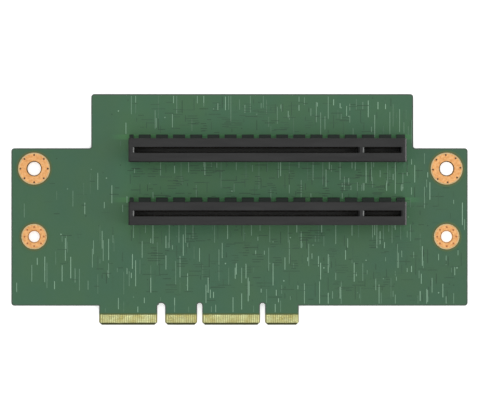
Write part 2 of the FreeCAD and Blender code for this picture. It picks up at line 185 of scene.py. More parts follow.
# Each finish has its name, colour and roughness, and what else is set on the shader. Its sources
# are an attribute or layers, then grains: millimetres across, detail and how they are stretched.
# The first source, with a share of the second, swings the colours, at 0.3 and 0.7 unless "at" says
# otherwise. "roughSpan" is a source and two roughnesses, "relief" a source, millimetres and strength.
finishes = {
    # liquid epoxy mask, printed and cured: a satin film through which the copper planes
    # and the glass cloth show as faint bluer and yellower fields
    "mask": {"name": "solderMask", "colour": "2b5b3a", "rough": 0.5, "grains": [(14.0, 2.0), (0.6, 2.0)],
             "share": 0.3, "colours": ("285a3c", "2e5c38"), "at": (0.35, 0.65),
             "roughSpan": (1, 0.44, 0.56), "relief": (1, 0.004, 0.5), "retouch": paintLightOnMask},
    # the same mask over a copper strip, lighter over the copper, each strip's tone drawn at random: the
    # traces' lightest tones are a painted highlight and the splits' darkest a painted shade, standing for
    # light and shade on raised strips
    "trace": overStrip | {"name": "maskOverTrace", "colour": "376345", "rough": 0.46,
                          "colours": ("376345", "86ab90")},
    "lane": overStrip | {"name": "maskOverLane", "colour": "3e6a4c", "rough": 0.46,
                         "colours": ("3e6a4c", "4c785c")},
    # plane splits and shade lines: darker where no copper lies below, and darker still as painted shade
    "split": overStrip | {"name": "maskOverPlaneSplit", "colour": "2a5638", "rough": 0.52,
                          "colours": ("2a5638", "0c381c")},
    # woven glass in epoxy, routed to shape: dull olive, with its cloth layers as fine lines on the cut edge
    "laminate": {"name": "fibreglassLaminate", "colour": "434b42", "rough": 0.7, "layers": 0.2467,
                 "grains": [(0.12, 3.0)], "colours": ("2f3833", "424c44"), "at": (0.2, 0.9),
                 "relief": (1, 0.01, 0.6), "retouch": colourTabs},
    # copper foil under a clear organic coat: soft pinkish orange, a little blotched
    "copper": {"name": "coatedCopper", "colour": "d39a62", "rough": 0.42, "metal": 1.0,
               "grains": [(0.7, 3.0), (0.08, 3.0)], "colours": ("c78a52", "dbab76"),
               "roughSpan": (0, 0.36, 0.5), "relief": (1, 0.004, 0.5)},
    # thin tin over the land's rim: pale straw, smoother than the copper
    "rim": {"name": "tinnedCopper", "colour": "cbbb8c", "rough": 0.4, "metal": 1.0,
            "grains": [(0.4, 3.0)], "colours": ("ab9668", "c0ae88"), "roughSpan": (0, 0.36, 0.46)},
    # plated wall of a drilled hole on the upper rings: dark brown, a painted shade standing for the shade on
    # the hole's inner wall
    "barrel": {"name": "oxidisedBarrel", "colour": "66491c", "rough": 0.5, "metal": 1.0,
               "grains": [(0.3, 3.0), (0.1, 3.0)], "colours": ("46320e", "66491c"), "relief": (1, 0.01, 0.6)},
    # the same wall on the lower rings, without the painted shade: bright copper
    "barrelBright": {"name": "rubbedBarrel", "colour": "b58250", "rough": 0.5, "metal": 1.0,
                     "grains": [(0.3, 3.0), (0.1, 3.0)], "colours": ("94683c", "b58250"),
                     "relief": (1, 0.01, 0.6)},
    # hard gold over nickel: pale yellow, with faint lines along the way the card slides in
    "gold": {"name": "hardGold", "colour": "b2b17c", "rough": 0.38, "metal": 1.0,
             "grains": [(2.2, 2.0), (0.09, 2.0, (1.0, 0.08, 1.0))], "share": 0.4,
             "colours": ("aaa467", "c6cb99"), "roughSpan": (1, 0.33, 0.46), "relief": (1, 0.002, 0.6)},
    # glass-filled liquid crystal polymer, moulded: neutral charcoal, flow marks and glass specks
    "plastic": {"name": "mouldedPolymer", "colour": "242424", "rough": 0.58,
                "sockets": {"Specular IOR Level": 0.3}, "grains": [(1.6, 3.0, (0.15, 1.0, 1.0)), (0.16, 2.0)],
                "share": 0.4, "colours": ("202020", "292929"), "roughSpan": (1, 0.52, 0.66),
                "relief": (1, 0.012, 0.5), "retouch": paintMouldingShadeAndLight},
    # painted highlight: a thin pale sliver of the same polymer at a mouth's end, standing for the light
    # caught on the lead-in there
    "highlightSliver": {"name": "stretchedPolymer", "colour": "7c7e7c", "rough": 0.5, "grains": [(0.3, 3.0)],
             "colours": ("727472", "868886")},
    # phosphor bronze strip under matt nickel, painted much darker than the metal as painted shade for its
    # place deep in the slot: grey with a warm cast, smooth from the rolling mill
    "spring": {"name": "nickelledBronze", "colour": "58534a", "rough": 0.66, "metal": 1.0,
               "grains": [(0.2, 3.0)], "colours": ("504b43", "5f5a50"), "roughSpan": (0, 0.6, 0.72)},
    # lead-free tin solder: grey silver, frosted where it froze slowly
    "solder": {"name": "tinSolder", "colour": "b9bcbf", "rough": 0.32, "metal": 1.0,
               "grains": [(0.15, 3.0)], "colours": ("a5a8ab", "cdd0d2"), "roughSpan": (0, 0.22, 0.5),
               "relief": (0, 0.012, 0.5)},
    # clear resin pooled round a land where the mask ends: glossy olive, thinning into the mask's green
    "bead": {"name": "pooledResin", "colour": "2c3314", "rough": 0.4, "attribute": "fade",
             "grains": [(0.9, 3.0)], "share": 0.3, "shift": 0.0, "colours": ("4c3a08", "4a561a", "345c30"),
             "at": (0.1, 0.5, 0.95)},
    # resin in a plated via, dull: dark brown on the upper rings, orange on the lower
    "via": {"name": "sunkenResin", "colour": "54301a", "rough": 0.6, "grains": [(0.15, 3.0)],
            "colours": ("371d0c", "54301a")},
    "viaBright": {"name": "levelResin", "colour": "b9713c", "rough": 0.6, "grains": [(0.15, 3.0)],
                  "colours": ("9c5426", "b9713c")},
    # pale translucent paper on a light table: a faint glow from below keeps it free of hard shadows
    "paper": {"name": "palePaper", "colour": "fbfbfa", "rough": 0.9, "grains": [(14.0, 3.0)],
              "sockets": {"Emission Color": linear("ffffff"), "Emission Strength": 0.5},
              "colours": ("f6f6f5", "fbfbfa")},
}


def makeMaterial(finish):
    # a principled material from its entry above
    material = bpy.data.materials.new(finish["name"])
    material.use_nodes = True
    material.diffuse_color = linear(finish["colour"])
    tree = material.node_tree
    shader = tree.nodes["Principled BSDF"]
    own = {"Base Color": linear(finish["colour"]), "Roughness": finish["rough"],
           "Metallic": finish.get("metal", 0.0)}
    for socket, value in (own | finish.get("sockets", {})).items():
        shader.inputs[socket].default_value = value

    add = partial(addNode, tree)
    place = add("TexCoord").outputs["Object"]
    sources = []
    if "attribute" in finish:
        read = add("Attribute", {"attribute_name": finish["attribute"]})
        sources.append(read.outputs["Fac"])
    if "layers" in finish:
        # at scale 1 a wave's bands are a twentieth of a turn apart
        bands = add("TexWave", {"wave_type": "BANDS", "bands_direction": "Z"}, {
            "Vector": place, "Scale": math.tau / 20 / (finish["layers"] * mm), "Distortion": 2.0,
            "Detail": 2.0, "Detail Scale": 3.0})
        sources.append(bands.outputs["Fac"])
    for size, detail, *stretch in finish["grains"]:
        spot = place
        if stretch:
            spot = add("Mapping", inputs={"Vector": place, "Scale": stretch[0]})
        noise = add("TexNoise", inputs={
            "Vector": spot, "Scale": 1 / (size * mm), "Detail": detail})
        sources.append(noise.outputs["Fac"])

    factor = sources[0]
    if "share" in finish:
        both = add("Math", "MULTIPLY_ADD", [sources[1], finish["share"], factor])
        factor = add("Math", "SUBTRACT", [both, finish.get("shift", finish["share"] / 2)])
    stops = [(at, linear(shade)) for at, shade in zip(finish.get("at", (0.3, 0.7)), finish["colours"])]
    colour = add("ValToRGB", {"stops": stops}, {"Fac": factor}).outputs["Color"]
    if "retouch" in finish:
        colour = finish["retouch"](tree, place, colour)
    tree.links.new(colour, shader.inputs["Base Color"])

    if "roughSpan" in finish:
        source, smooth, rough = finish["roughSpan"]
        swing = add("MapRange", inputs={
            "Value": sources[source], "From Min": 0.3, "From Max": 0.7, "To Min": smooth, "To Max": rough})
        tree.links.new(swing.outputs["Result"], shader.inputs["Roughness"])
    if "relief" in finish:
        source, depth, strength = finish["relief"]
        raised = add("Bump", inputs={
            "Height": sources[source], "Distance": depth * mm, "Strength": strength})
        tree.links.new(raised.outputs["Normal"], shader.inputs["Normal"])
    return material


looks = {key: makeMaterial(finish) for key, finish in finishes.items()}
print("materials made")


# shapes from outlines

def openShape(node):
    # a CAD node's faces, joined at their corners, to work on
    bm = bmesh.new()
    bm.from_mesh(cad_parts[node].data)
    bmesh.ops.remove_doubles(bm, verts=bm.verts, dist=1e-7)
    return bm


def closeShape(bm, name):
    # the finished shape as a mesh
    mesh = bpy.data.meshes.new(name)
    bm.to_mesh(mesh)
    bm.free()
    return mesh


def addPiece(name, mesh, material=None):
    # a finished piece at the origin that rides with the card
    piece = bpy.data.objects.new(name, mesh)
    scene.collection.objects.link(piece)
    if material:
        mesh.materials.append(material)
    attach(piece, "root")
    return piece


def circle(x, y, radius, count):
    # points round a circle
    turns = [math.tau * i / count for i in range(count)]
    return [(x + radius * math.cos(t), y + radius * math.sin(t)) for t in turns]


def rimLoops(node, level):
    # the closed outlines of a node's flat face at one level, longest first
    bm = openShape(node)
    flat = [f for f in bm.faces if all(abs(v.co.z - level) < 1e-6 for v in f.verts)]
    inFlat = set(flat)
    onward = {}
    for face in flat:
        for corner in face.loops:
            if sum(f in inFlat for f in corner.edge.link_faces) == 1:
                onward[corner.vert] = corner.link_loop_next.vert
    loops = []
    while onward:
        vert, following = onward.popitem()
        loop = [vert.co.xy.copy()]
        while following in onward:
            loop.append(following.co.xy.copy())
            following = onward.pop(following)
        loops.append(loop)
    bm.free()
    return sorted(loops, key=len, reverse=True)


def pulledIn(loop, distance):
    # the outline moved to its own left by a distance
    moved = []
    for before, here, after in zip(loop[-1:] + loop[:-1], loop, loop[1:] + loop[:1]):
        first = (here - before).normalized()
        second = (after - here).normalized()
        across = Vector((-(first.y + second.y), first.x + second.x))
        moved.append(here + across * (distance / max(0.3, 1 + first.dot(second))))
    return moved


def makePlate(loops, bottom, top, cutAt=None):
    # a flat plate with holes, closed all round; what lies below the cut is left off
    bm = bmesh.new()
    for loop in loops:
        verts = [bm.verts.new((x, y, top)) for x, y in loop]
        for a, b in zip(verts, verts[1:] + verts[:1]):
            bm.edges.new((a, b))
    bmesh.ops.triangle_fill(bm, use_beauty=True, edges=bm.edges)
    if cutAt is not None:
        bmesh.ops.bisect_plane(bm, geom=bm.verts[:] + bm.edges[:] + bm.faces[:], dist=1e-7,
                               plane_co=(0, cutAt, 0), plane_no=(0, 1, 0), clear_inner=True)
    bmesh.ops.dissolve_limit(bm, angle_limit=0.01, verts=bm.verts, edges=bm.edges)
    bmesh.ops.triangulate(bm, faces=bm.faces)
    for face in bm.faces:
        if face.normal.z < 0:
            face.normal_flip()
    made = bmesh.ops.extrude_face_region(bm, geom=bm.faces[:], use_keep_orig=True)
    under = [item for item in made["geom"] if isinstance(item, bmesh.types.BMVert)]
    bmesh.ops.translate(bm, verts=under, vec=(0, 0, bottom - top))
    bmesh.ops.recalc_face_normals(bm, faces=bm.faces)
    return closeShape(bm, "plate")


edgeRound = {"segments": 2, "angle": 40}


def finishEdges(piece, width):
    # small rounds on every sharp edge
    bevel = piece.modifiers.new("edges", "BEVEL")
    bevel.width = width * mm
    bevel.segments = edgeRound["segments"]
    bevel.limit_method = "ANGLE"
    bevel.angle_limit = math.radians(edgeRound["angle"])


# the board: laminate core with a film of mask on each face

boardSizes = {
    "film": 0.03,         # solder mask, millimetres
    "pullBack": 0.34,     # bare laminate left at the routed edge
    "fingerGap": 0.5,     # mask ends this far above the fingers
    "ringGap": 0.84,      # mask opening round a mounting ring
    "openingSides": 96,
}

film = boardSizes["film"] * mm
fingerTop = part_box("front_fingers_first_tab")[1].y
ringNames = ["mounting_ring_" + place for place in ("upper_left", "upper_right", "lower_left", "lower_right")]


def makeBoard():
    bm = openShape("circuit_board")
    for vert in bm.verts:
        vert.co.z = min(max(vert.co.z, boardLow.z + film), boardHigh.z - film)
    core = closeShape(bm, "laminate_core")
    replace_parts(addPiece("laminate_core", core, looks["laminate"]), "circuit_board")

    outline = rimLoops("circuit_board", boardHigh.z)[0]
    area = sum(a.x * b.y - b.x * a.y for a, b in zip(outline, outline[1:] + outline[:1]))
    inner = pulledIn(outline, boardSizes["pullBack"] * mm * (1 if area > 0 else -1))
    openings = []
    for name in ringNames:
        low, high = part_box(name)
        middle = (low + high) / 2
        radius = (high.x - low.x) / 2 + boardSizes["ringGap"] * mm
        openings.append(circle(middle.x, middle.y, radius, boardSizes["openingSides"]))
    cut = fingerTop + boardSizes["fingerGap"] * mm
    sheets = []
    for side, bottom in (("front", boardHigh.z - film), ("back", boardLow.z)):
        mesh = makePlate([inner] + openings, bottom, bottom + film, cut)
        sheets.append(addPiece(side + "_mask", mesh, looks["mask"]))
    return sheets


maskSheets = makeBoard()
print("board made")


# Geometry Nodes: rows, scattered strips and routed lanes

def newTree(name, inputs):
    # a tree with named inputs and one geometry output
    tree = bpy.data.node_groups.new(name, "GeometryNodeTree")
    tree.interface.new_socket("Geometry", in_out="OUTPUT", socket_type="NodeSocketGeometry")
    for label, kind in inputs.items():
        tree.interface.new_socket(label, in_out="INPUT", socket_type="NodeSocket" + kind)
    return tree, tree.nodes.new("NodeGroupInput").outputs


def endTree(tree, instances, material):
    # instances become real faces, with their material
    add = partial(addNode, tree)
    real = add("GeometryNodeRealizeInstances", inputs={"Geometry": instances})
    painted = add("GeometryNodeSetMaterial", inputs={"Geometry": real, "Material": material})
    add("NodeGroupOutput", inputs={"Geometry": painted})


def grow(name, tree, values):
    # runs a tree and keeps its result as a plain mesh
    holder = bpy.data.objects.new(name + "Holder", bpy.data.meshes.new(name + "Holder"))
    scene.collection.objects.link(holder)
    modifier = holder.modifiers.new(tree.name, "NODES")
    modifier.node_group = tree
    for item in tree.interface.items_tree:
        if item.in_out == "INPUT" and item.name in values:
            modifier[item.identifier] = values[item.name]
    graph = bpy.context.evaluated_depsgraph_get()
    mesh = bpy.data.meshes.new_from_object(holder.evaluated_get(graph), depsgraph=graph)
    bpy.data.objects.remove(holder)
    return addPiece(name, mesh)


def makeRowTree():
    # copies of one shape in a straight line
    tree, given = newTree("evenRow", {
        "Shape": "Object", "Count": "Int", "Start": "Vector", "Step": "Vector", "Material": "Material"})
    add = partial(addNode, tree)
    line = add("GeometryNodeMeshLine", inputs={
        "Count": given["Count"], "Start Location": given["Start"], "Offset": given["Step"]})
    shape = add("GeometryNodeObjectInfo", inputs={"Object": given["Shape"]})
    copies = add("GeometryNodeInstanceOnPoints", inputs={
        "Points": line, "Instance": shape.outputs["Geometry"]})
    endTree(tree, copies, given["Material"])
    return tree


stripRules = {
    "skew": 1.7,              # above 1 makes short strips the common ones
    "thinnest": 0.55,         # share of the full height
    "toneSeed": 500,          # added to a field's seed for the draw of its tones
    "rayFrom": (0, 0, 0.02),  # metres above the strip, to look for the sheet below
    "rayLength": 0.05,
}


def makeStripTree():
    # strips of random length on a routing grid, kept where the sheet lies under both ends and the sides
    tree, given = newTree("scatteredStrips", {
        "Sheet": "Object", "Shape": "Object", "Count": "Int", "Seed": "Int", "Low": "Vector",
        "High": "Vector", "Grid": "Float", "Short": "Float", "Long": "Float", "Width": "Float",
        "Height": "Float", "Turn": "Float", "Flip": "Float", "Hang": "Float", "Margin": "Float",
        "Material": "Material"})
    add = partial(addNode, tree)
    # one strip to each equal share of the field's width, so that they don't clump
    chance = add("FunctionNodeRandomValue", {"data_type": "FLOAT_VECTOR"}, {"Seed": given["Seed"]})
    chances = add("SeparateXYZ", inputs=[chance]).outputs
    number = add("GeometryNodeInputIndex")
    reached = add("Math", "ADD", [number, chances["X"]])
    across = add("Math", "DIVIDE", [reached, given["Count"]])
    fractions = add("CombineXYZ", inputs={"X": across, "Y": chances["Y"]})
    span = add("VectorMath", "SUBTRACT", [given["High"], given["Low"]])
    spot = add("VectorMath", "MULTIPLY_ADD", [fractions, span, given["Low"]])
    snapped = add("VectorMath", "SNAP", [spot, given["Grid"]])
    onGrid = add("SeparateXYZ", inputs=[snapped]).outputs
    free = add("SeparateXYZ", inputs=[spot]).outputs
    place = add("CombineXYZ", inputs={"X": onGrid["X"], "Y": onGrid["Y"], "Z": free["Z"]})
    share = add("FunctionNodeRandomValue", {"data_type": "FLOAT"}, {"Seed": given["Seed"]})
    skewed = add("Math", "POWER", [share.outputs[1], stripRules["skew"]])
    length = add("MapRange", inputs={
        "Value": skewed, "To Min": given["Short"], "To Max": given["Long"]})
    hung = add("Math", "MULTIPLY", [length, given["Hang"]])
    lowered = add("CombineXYZ", inputs={"Y": hung})
    settled = add("VectorMath", "ADD", [place, lowered])
    points = add("GeometryNodePoints", inputs={"Count": given["Count"], "Position": settled})

    # a strip stays only where rays straight down from its ends and sides meet the sheet
    here = add("GeometryNodeInputPosition")
    half = add("Math", "MULTIPLY_ADD", [length, 0.5, given["Margin"]])
    sheet = add("GeometryNodeObjectInfo", inputs={"Object": given["Sheet"]})
    cosine = add("Math", "COSINE", [given["Turn"]])
    sine = add("Math", "SINE", [given["Turn"]])
    along = add("CombineXYZ", inputs={"X": sine, "Y": cosine})
    sideways = add("CombineXYZ", inputs={"X": cosine, "Y": sine})
    kept = None
    for direction, reach in ((along, half), (sideways, given["Margin"])):
        for sign in (1, -1):
            signed = add("Math", "MULTIPLY", [reach, sign])
            shift = add("VectorMath", "SCALE", {0: direction, "Scale": signed})
            moved = add("VectorMath", "ADD", [here, shift])
            above = add("VectorMath", "ADD", [moved, stripRules["rayFrom"]])
            ray = add("GeometryNodeRaycast", inputs={
                "Target Geometry": sheet.outputs["Geometry"], "Source Position": above,
                "Ray Direction": (0, 0, -1), "Ray Length": stripRules["rayLength"]})
            hit = ray.outputs["Is Hit"]
            if kept:
                hit = add("FunctionNodeBooleanMath", "AND", [kept, hit])
            kept = hit

    shape = add("GeometryNodeObjectInfo", inputs={"Object": given["Shape"]})
    toneSeed = add("Math", "ADD", [given["Seed"], stripRules["toneSeed"]])
    tone = add("FunctionNodeRandomValue", {"data_type": "FLOAT"}, {"Seed": toneSeed}).outputs[1]
    rise = add("MapRange", inputs={
        "Value": tone, "To Min": stripRules["thinnest"], "To Max": 1.0})
    thick = add("Math", "MULTIPLY", [rise, given["Height"]])
    size = add("CombineXYZ", inputs={"X": given["Width"], "Y": length, "Z": thick})
    turn = add("CombineXYZ", inputs={"Y": given["Flip"], "Z": given["Turn"]})
    copies = add("GeometryNodeInstanceOnPoints", inputs={
        "Points": points, "Selection": kept, "Instance": shape.outputs["Geometry"],
        "Rotation": turn, "Scale": size})
    toned = add("GeometryNodeStoreNamedAttribute", {"domain": "INSTANCE", "data_type": "FLOAT"}, {
        "Geometry": copies, "Name": "tone", "Value": tone})
    endTree(tree, toned, given["Material"])
    return tree


def makeLaneTree():
    # pairs of lanes that run up the board, step aside at 45 degrees and run on: four corners each
    tree, given = newTree("routedLanes", {
        "Lanes": "Int", "Start": "Vector", "Pair Step": "Float", "Pair Gap": "Float", "First Run": "Float",
        "Shift": "Float", "Second Run": "Float", "Width": "Float", "Height": "Float", "Material": "Material"})
    add = partial(addNode, tree)
    total = add("Math", "MULTIPLY", [given["Lanes"], 4])
    line = add("GeometryNodeMeshLine", inputs={"Count": total})
    index = add("GeometryNodeInputIndex")
    quarter = add("Math", "DIVIDE", [index, 4])
    lane = add("Math", "FLOOR", [quarter])
    corner = add("Math", "MODULO", [index, 4])
    halved = add("Math", "DIVIDE", [lane, 2])
    pair = add("Math", "FLOOR", [halved])
    second = add("Math", "MODULO", [lane, 2])
    base = add("Math", "MULTIPLY", [pair, given["Pair Step"]])
    offset = add("Math", "MULTIPLY_ADD", [second, given["Pair Gap"], base])
    late = add("Math", "GREATER_THAN", [corner, 1.5])
    across = add("Math", "MULTIPLY_ADD", [late, given["Shift"], offset])
    jog = add("Math", "ABSOLUTE", [given["Shift"]])
    up = 0.0
    for level, length in ((0.5, given["First Run"]), (1.5, jog), (2.5, given["Second Run"])):
        passed = add("Math", "GREATER_THAN", [corner, level])
        rise = add("Math", "MULTIPLY", [passed, length])
        up = add("Math", "ADD", [up, rise])
    local = add("CombineXYZ", inputs={"X": across, "Y": up})
    place = add("VectorMath", "ADD", [local, given["Start"]])
    routed = add("GeometryNodeSetPosition", inputs={"Geometry": line, "Position": place})
    last = add("FunctionNodeCompare", {"data_type": "FLOAT", "operation": "GREATER_THAN"}, [corner, 2.5])
    apart = add("GeometryNodeDeleteGeometry", {"domain": "EDGE", "mode": "EDGE_FACE"}, {
        "Geometry": routed, "Selection": last})
    paths = add("GeometryNodeMeshToCurve", inputs={"Mesh": apart})
    level = add("GeometryNodeSetCurveNormal", {"mode": "Z_UP"}, {"Curve": paths})
    section = add("GeometryNodeCurvePrimitiveQuadrilateral", inputs={
        "Width": given["Width"], "Height": given["Height"]})
    strips = add("GeometryNodeCurveToMesh", inputs={
        "Curve": level, "Profile Curve": section, "Fill Caps": True})
    endTree(tree, strips, given["Material"])
    return tree


rowTree = makeRowTree()
stripTree = makeStripTree()
laneTree = makeLaneTree()


# shapes for the trees to repeat, kept out of the finished scene

def shapeObject(name, build):
    bm = bmesh.new()
    build(bm)
    bmesh.ops.recalc_face_normals(bm, faces=bm.faces)
    return bpy.data.objects.new(name, closeShape(bm, name))


def skin(bm, rings):
    # faces round a run of closed outlines, and over both ends
    for low, high in zip(rings, rings[1:]):
        for i in range(len(low)):
            bm.faces.new((low[i - 1], low[i], high[i], high[i - 1]))
    bm.faces.new(rings[0])
    bm.faces.new(rings[-1])


def turnedShape(profile, count):
    # a solid of revolution from (radius, height) pairs
    def build(bm):
        skin(bm, [[bm.verts.new((x, y, z)) for x, y in circle(0, 0, r, count)] for r, z in profile])
    return build


def blockShape(width, length, height, bevel):
    # a block with rounded edges, standing on its base
    def build(bm):
        bmesh.ops.create_cube(bm, size=1.0)
        for vert in bm.verts:
            vert.co = Vector((vert.co.x * width, vert.co.y * length, (vert.co.z + 0.5) * height))
        if bevel:
            bmesh.ops.bevel(bm, geom=bm.edges[:], offset=bevel, segments=1, affect="EDGES", profile=0.5)
    return build


def stackShape(bars):
    # strips side by side, each with its own place, length and shift
    def build(bm):
        for aside, length, along in bars:
            for vert in bmesh.ops.create_cube(bm, size=1.0)["verts"]:
                vert.co = Vector((vert.co.x + aside, vert.co.y * length + along, vert.co.z + 0.5))
    return build


# copper under the mask: lanes, strips and vias, on both faces

traceSizes = {
    "rise": 0.02,         # copper under the mask stands this far above it
    "grid": 0.35,         # routing grid
    "wide": 0.22,         # a trace, drawn broad enough to show
    "split": 0.2,         # a gap between copper planes
    "lane": 0.17,         # one lane of a pair
    "pairGap": 0.34,      # lane to lane
    "pairStep": 1.1,      # pair to pair
    "margin": 0.16,       # kept clear of edges and openings
    "viaPad": 0.42,       # pad of a via
    "viaField": ((-60, -33), (73, 37)),
    "vias": (("trace", 40), ("split", 60)),
    "viaSeed": 60,
    "sides": (("front", 1), ("back", 101)),   # each face and its first seed
    # in widths of a strip and in its lengths
    "stack": ((-6.0, 0.7, 0.12), (-2.0, 1.0, 0.0), (2.2, 0.55, -0.2), (6.0, 0.85, 0.05)),
    "via": ((0.5, 0.0), (0.5, 0.7), (0.44, 1.0), (0.22, 1.0), (0.2, 0.6)),
}
unitStrip = shapeObject("unitStrip", blockShape(1.0, 1.0, 1.0, 0))
unitStack = shapeObject("unitStack", stackShape(traceSizes["stack"]))
unitVia = shapeObject("unitVia", turnedShape(traceSizes["via"], 12))

# fields of strips in millimetres: name, kind, low corner, high corner, count, shortest, longest,
# and which end stays on the field's line (-0.5 hangs down from it, 0.5 stands on it, 0 neither)
stripFields = [
    ("left_ear", "trace", (-73, -36), (-48, 10), 22, 2.0, 10.0, 0),
    ("left_ear_low", "trace", (-73, -33), (-48, -12), 11, 1.5, 8.0, 0),
    ("left_inner", "trace", (-48, -33), (-33, 34), 18, 1.5, 7.0, 0),
    ("top_edge", "trace", (-38, 36.9), (10, 36.9), 11, 2.0, 9.0, -0.5),
    ("top_left", "trace", (-34, 26), (8, 36), 12, 1.5, 6.0, 0),
    ("top_right", "trace", (8, 25), (56, 36), 42, 1.2, 8.0, 0),
    ("between_hung", "trace", (-20, 15.5), (54, 15.5), 26, 1.5, 9.0, -0.5),
    ("between", "trace", (-34, 4), (56, 15), 24, 1.2, 6.0, 0),
    ("right_inner", "trace", (50, -34), (62, 36), 26, 1.5, 8.0, 0),
    ("right_ear", "trace", (61, -35), (73, 18), 22, 1.2, 8.0, 0),
    ("below_hung", "trace", (-36, -4.85), (54, -4.85), 26, 1.5, 8.0, -0.5),
    ("below_left", "trace", (-47, -34), (0, -8), 38, 1.2, 9.0, 0),
    ("below_right", "trace", (0, -31), (60, -8), 62, 1.2, 8.0, 0),
    ("bottom_edge", "trace", (20, -30.4), (72, -30.4), 12, 1.5, 8.0, 0.5),
    ("tabs", "trace", (-44, -33.2), (18, -33.2), 12, 1.2, 5.0, 0.5),
    ("plane_top", "split", (-34, 25), (42, 35), 60, 1.2, 4.5, 0),
    ("plane_between", "split", (-36, 4), (54, 15), 70, 1.2, 5.0, 0),
    ("plane_below", "split", (-32, -30), (56, -6), 110, 1.2, 5.5, 0),
    ("plane_right", "split", (54, -30), (70, 16), 40, 1.5, 5.0, 0),
    ("plane_left", "split", (-62, -30), (-36, 10), 22, 1.2, 4.0, 0),
    ("between_right", "trace", (32, 6), (56, 14), 15, 2.0, 6.5, 0),
    ("hung_right", "trace", (41, -4.85), (56, -4.85), 6, 4.0, 9.0, -0.5),
    ("below_middle", "trace", (-32, -26), (4, -17), 12, 4.0, 9.0, 0),
    # shade lines: dark strips of painted shade beside the raised strips
    ("gaps_top", "gap", (-34, 25), (56, 36), 34, 1.0, 4.5, 0),
    ("gaps_between", "gap", (-36, 4), (62, 15), 40, 1.0, 4.5, 0),
    ("gaps_below", "gap", (-46, -32), (58, -6), 80, 1.0, 5.0, 0),
    ("gaps_right", "gap", (56, -32), (72, 16), 34, 1.0, 6.0, 0),
    ("stacks_top", "stack", (-22, 26.5), (24, 34), 12, 2.0, 5.5, 0),
    ("stacks_between", "stack", (-33, 5.5), (50, 13.5), 18, 2.0, 5.5, 0),
    ("stacks_below", "stack", (-30, -28), (54, -8), 26, 2.0, 6.0, 0),
]
# bundles of lanes on the back: first lane's foot (x, y), pairs, first run, sideways step, second run
laneBundles = [
    (-31.0, -31.0, 5, 8.0, -2.4, 12.0), (-20.5, -31.5, 3, 12.0, 1.6, 9.0), (-10.5, -31.0, 6, 6.5, -2.0, 14.5),
    (1.2, -31.6, 4, 13.0, -1.2, 8.0), (9.6, -29.2, 6, 9.0, -3.2, 9.0), (22.0, -27.5, 5, 10.0, 1.8, 8.0),
    (33.5, -27.8, 6, 6.0, -2.6, 11.5), (46.0, -27.0, 4, 9.0, -1.0, 12.0), (58.0, -28.5, 3, 8.0, 2.2, 30.0),
    (-58.5, -28.0, 4, 11.0, -1.4, 26.0), (-47.5, -27.0, 3, 16.0, -2.0, 20.0), (-26.0, 3.6, 5, 5.0, -1.2, 4.0),
    (-9.0, 3.6, 4, 3.5, 1.6, 5.0), (8.0, 3.6, 6, 4.2, -1.8, 4.2), (27.0, 3.8, 5, 5.5, 1.2, 3.4),
    (-36.0, 25.5, 4, 4.0, -1.4, 5.0), (-12.0, 25.8, 6, 3.0, -1.0, 6.0), (14.0, 25.6, 5, 5.0, 1.4, 3.6),
    (38.0, 25.6, 4, 3.4, -1.6, 5.2),
]


def scatter(name, side, kind, field, seed, width, shape):
    # strips or vias within a field on one face
    low, high, count, short, long, hang = field
    front = side == "front"
    level = boardHigh.z if front else boardLow.z
    return grow(f"{side}_{name}", stripTree, {
        "Sheet": maskSheets[0 if front else 1], "Shape": shape, "Count": count, "Seed": seed,
        "Low": (low[0] * mm, low[1] * mm, level), "High": (high[0] * mm, high[1] * mm, level),
        "Grid": traceSizes["grid"] * mm, "Short": short * mm, "Long": long * mm, "Width": width * mm,
        "Height": traceSizes["rise"] * mm, "Turn": math.pi / 2 if kind in ("split", "stack") else 0.0,
        "Flip": 0.0 if front else math.pi, "Hang": float(hang), "Margin": traceSizes["margin"] * mm,
        "Material": looks["trace" if kind == "trace" else "split"]})


def makeTraces():
    sizes = traceSizes
    pad = sizes["viaPad"]
    for side, firstSeed in sizes["sides"]:
        for number, (name, kind, *field) in enumerate(stripFields):
            width = sizes["wide" if kind == "trace" else "split"]
            shape = unitStack if kind == "stack" else unitStrip
            scatter(name + "_strips", side, kind, field, firstSeed + number, width, shape)
        for kind, count in sizes["vias"]:
            scatter(kind + "_vias", side, kind, (*sizes["viaField"], count, pad, pad, 0),
                    firstSeed + sizes["viaSeed"] + count, pad, unitVia)
    for number, (x, y, pairs, first, aside, second) in enumerate(laneBundles):
        grow(f"back_lanes_{number + 1}", laneTree, {
            "Lanes": pairs * 2, "Start": (x * mm, y * mm, boardLow.z),
            "Pair Step": sizes["pairStep"] * mm, "Pair Gap": sizes["pairGap"] * mm,
            "First Run": first * mm, "Shift": aside * mm, "Second Run": second * mm,
            "Width": sizes["lane"] * mm, "Height": sizes["rise"] * mm, "Material": looks["lane"]})


makeTraces()
print("traces made")


# mounting rings: copper land with eight vias, tinned rim, plated barrel and a bead of resin

ringSizes = {
    "upper": {"bore": 4.4, "viaCircle": 8.84},
    "lower": {"bore": 3.6, "viaCircle": 6.18},
    "rightTurn": 4.0,     # degrees that the upper right ring's vias are turned
    "via": 0.6,
    "vias": 8,
    "plug": 0.02,         # height of a via's resin plug
    "wall": 0.28,
    "bead": 0.8,
    "rimWidth": 0.36,
    "step": 0.012,        # the tinned rim stands this far above the copper
    "edge": 0.015,
    "sides": 96,
    "boreSides": 64,
    "viaSides": 16,
}


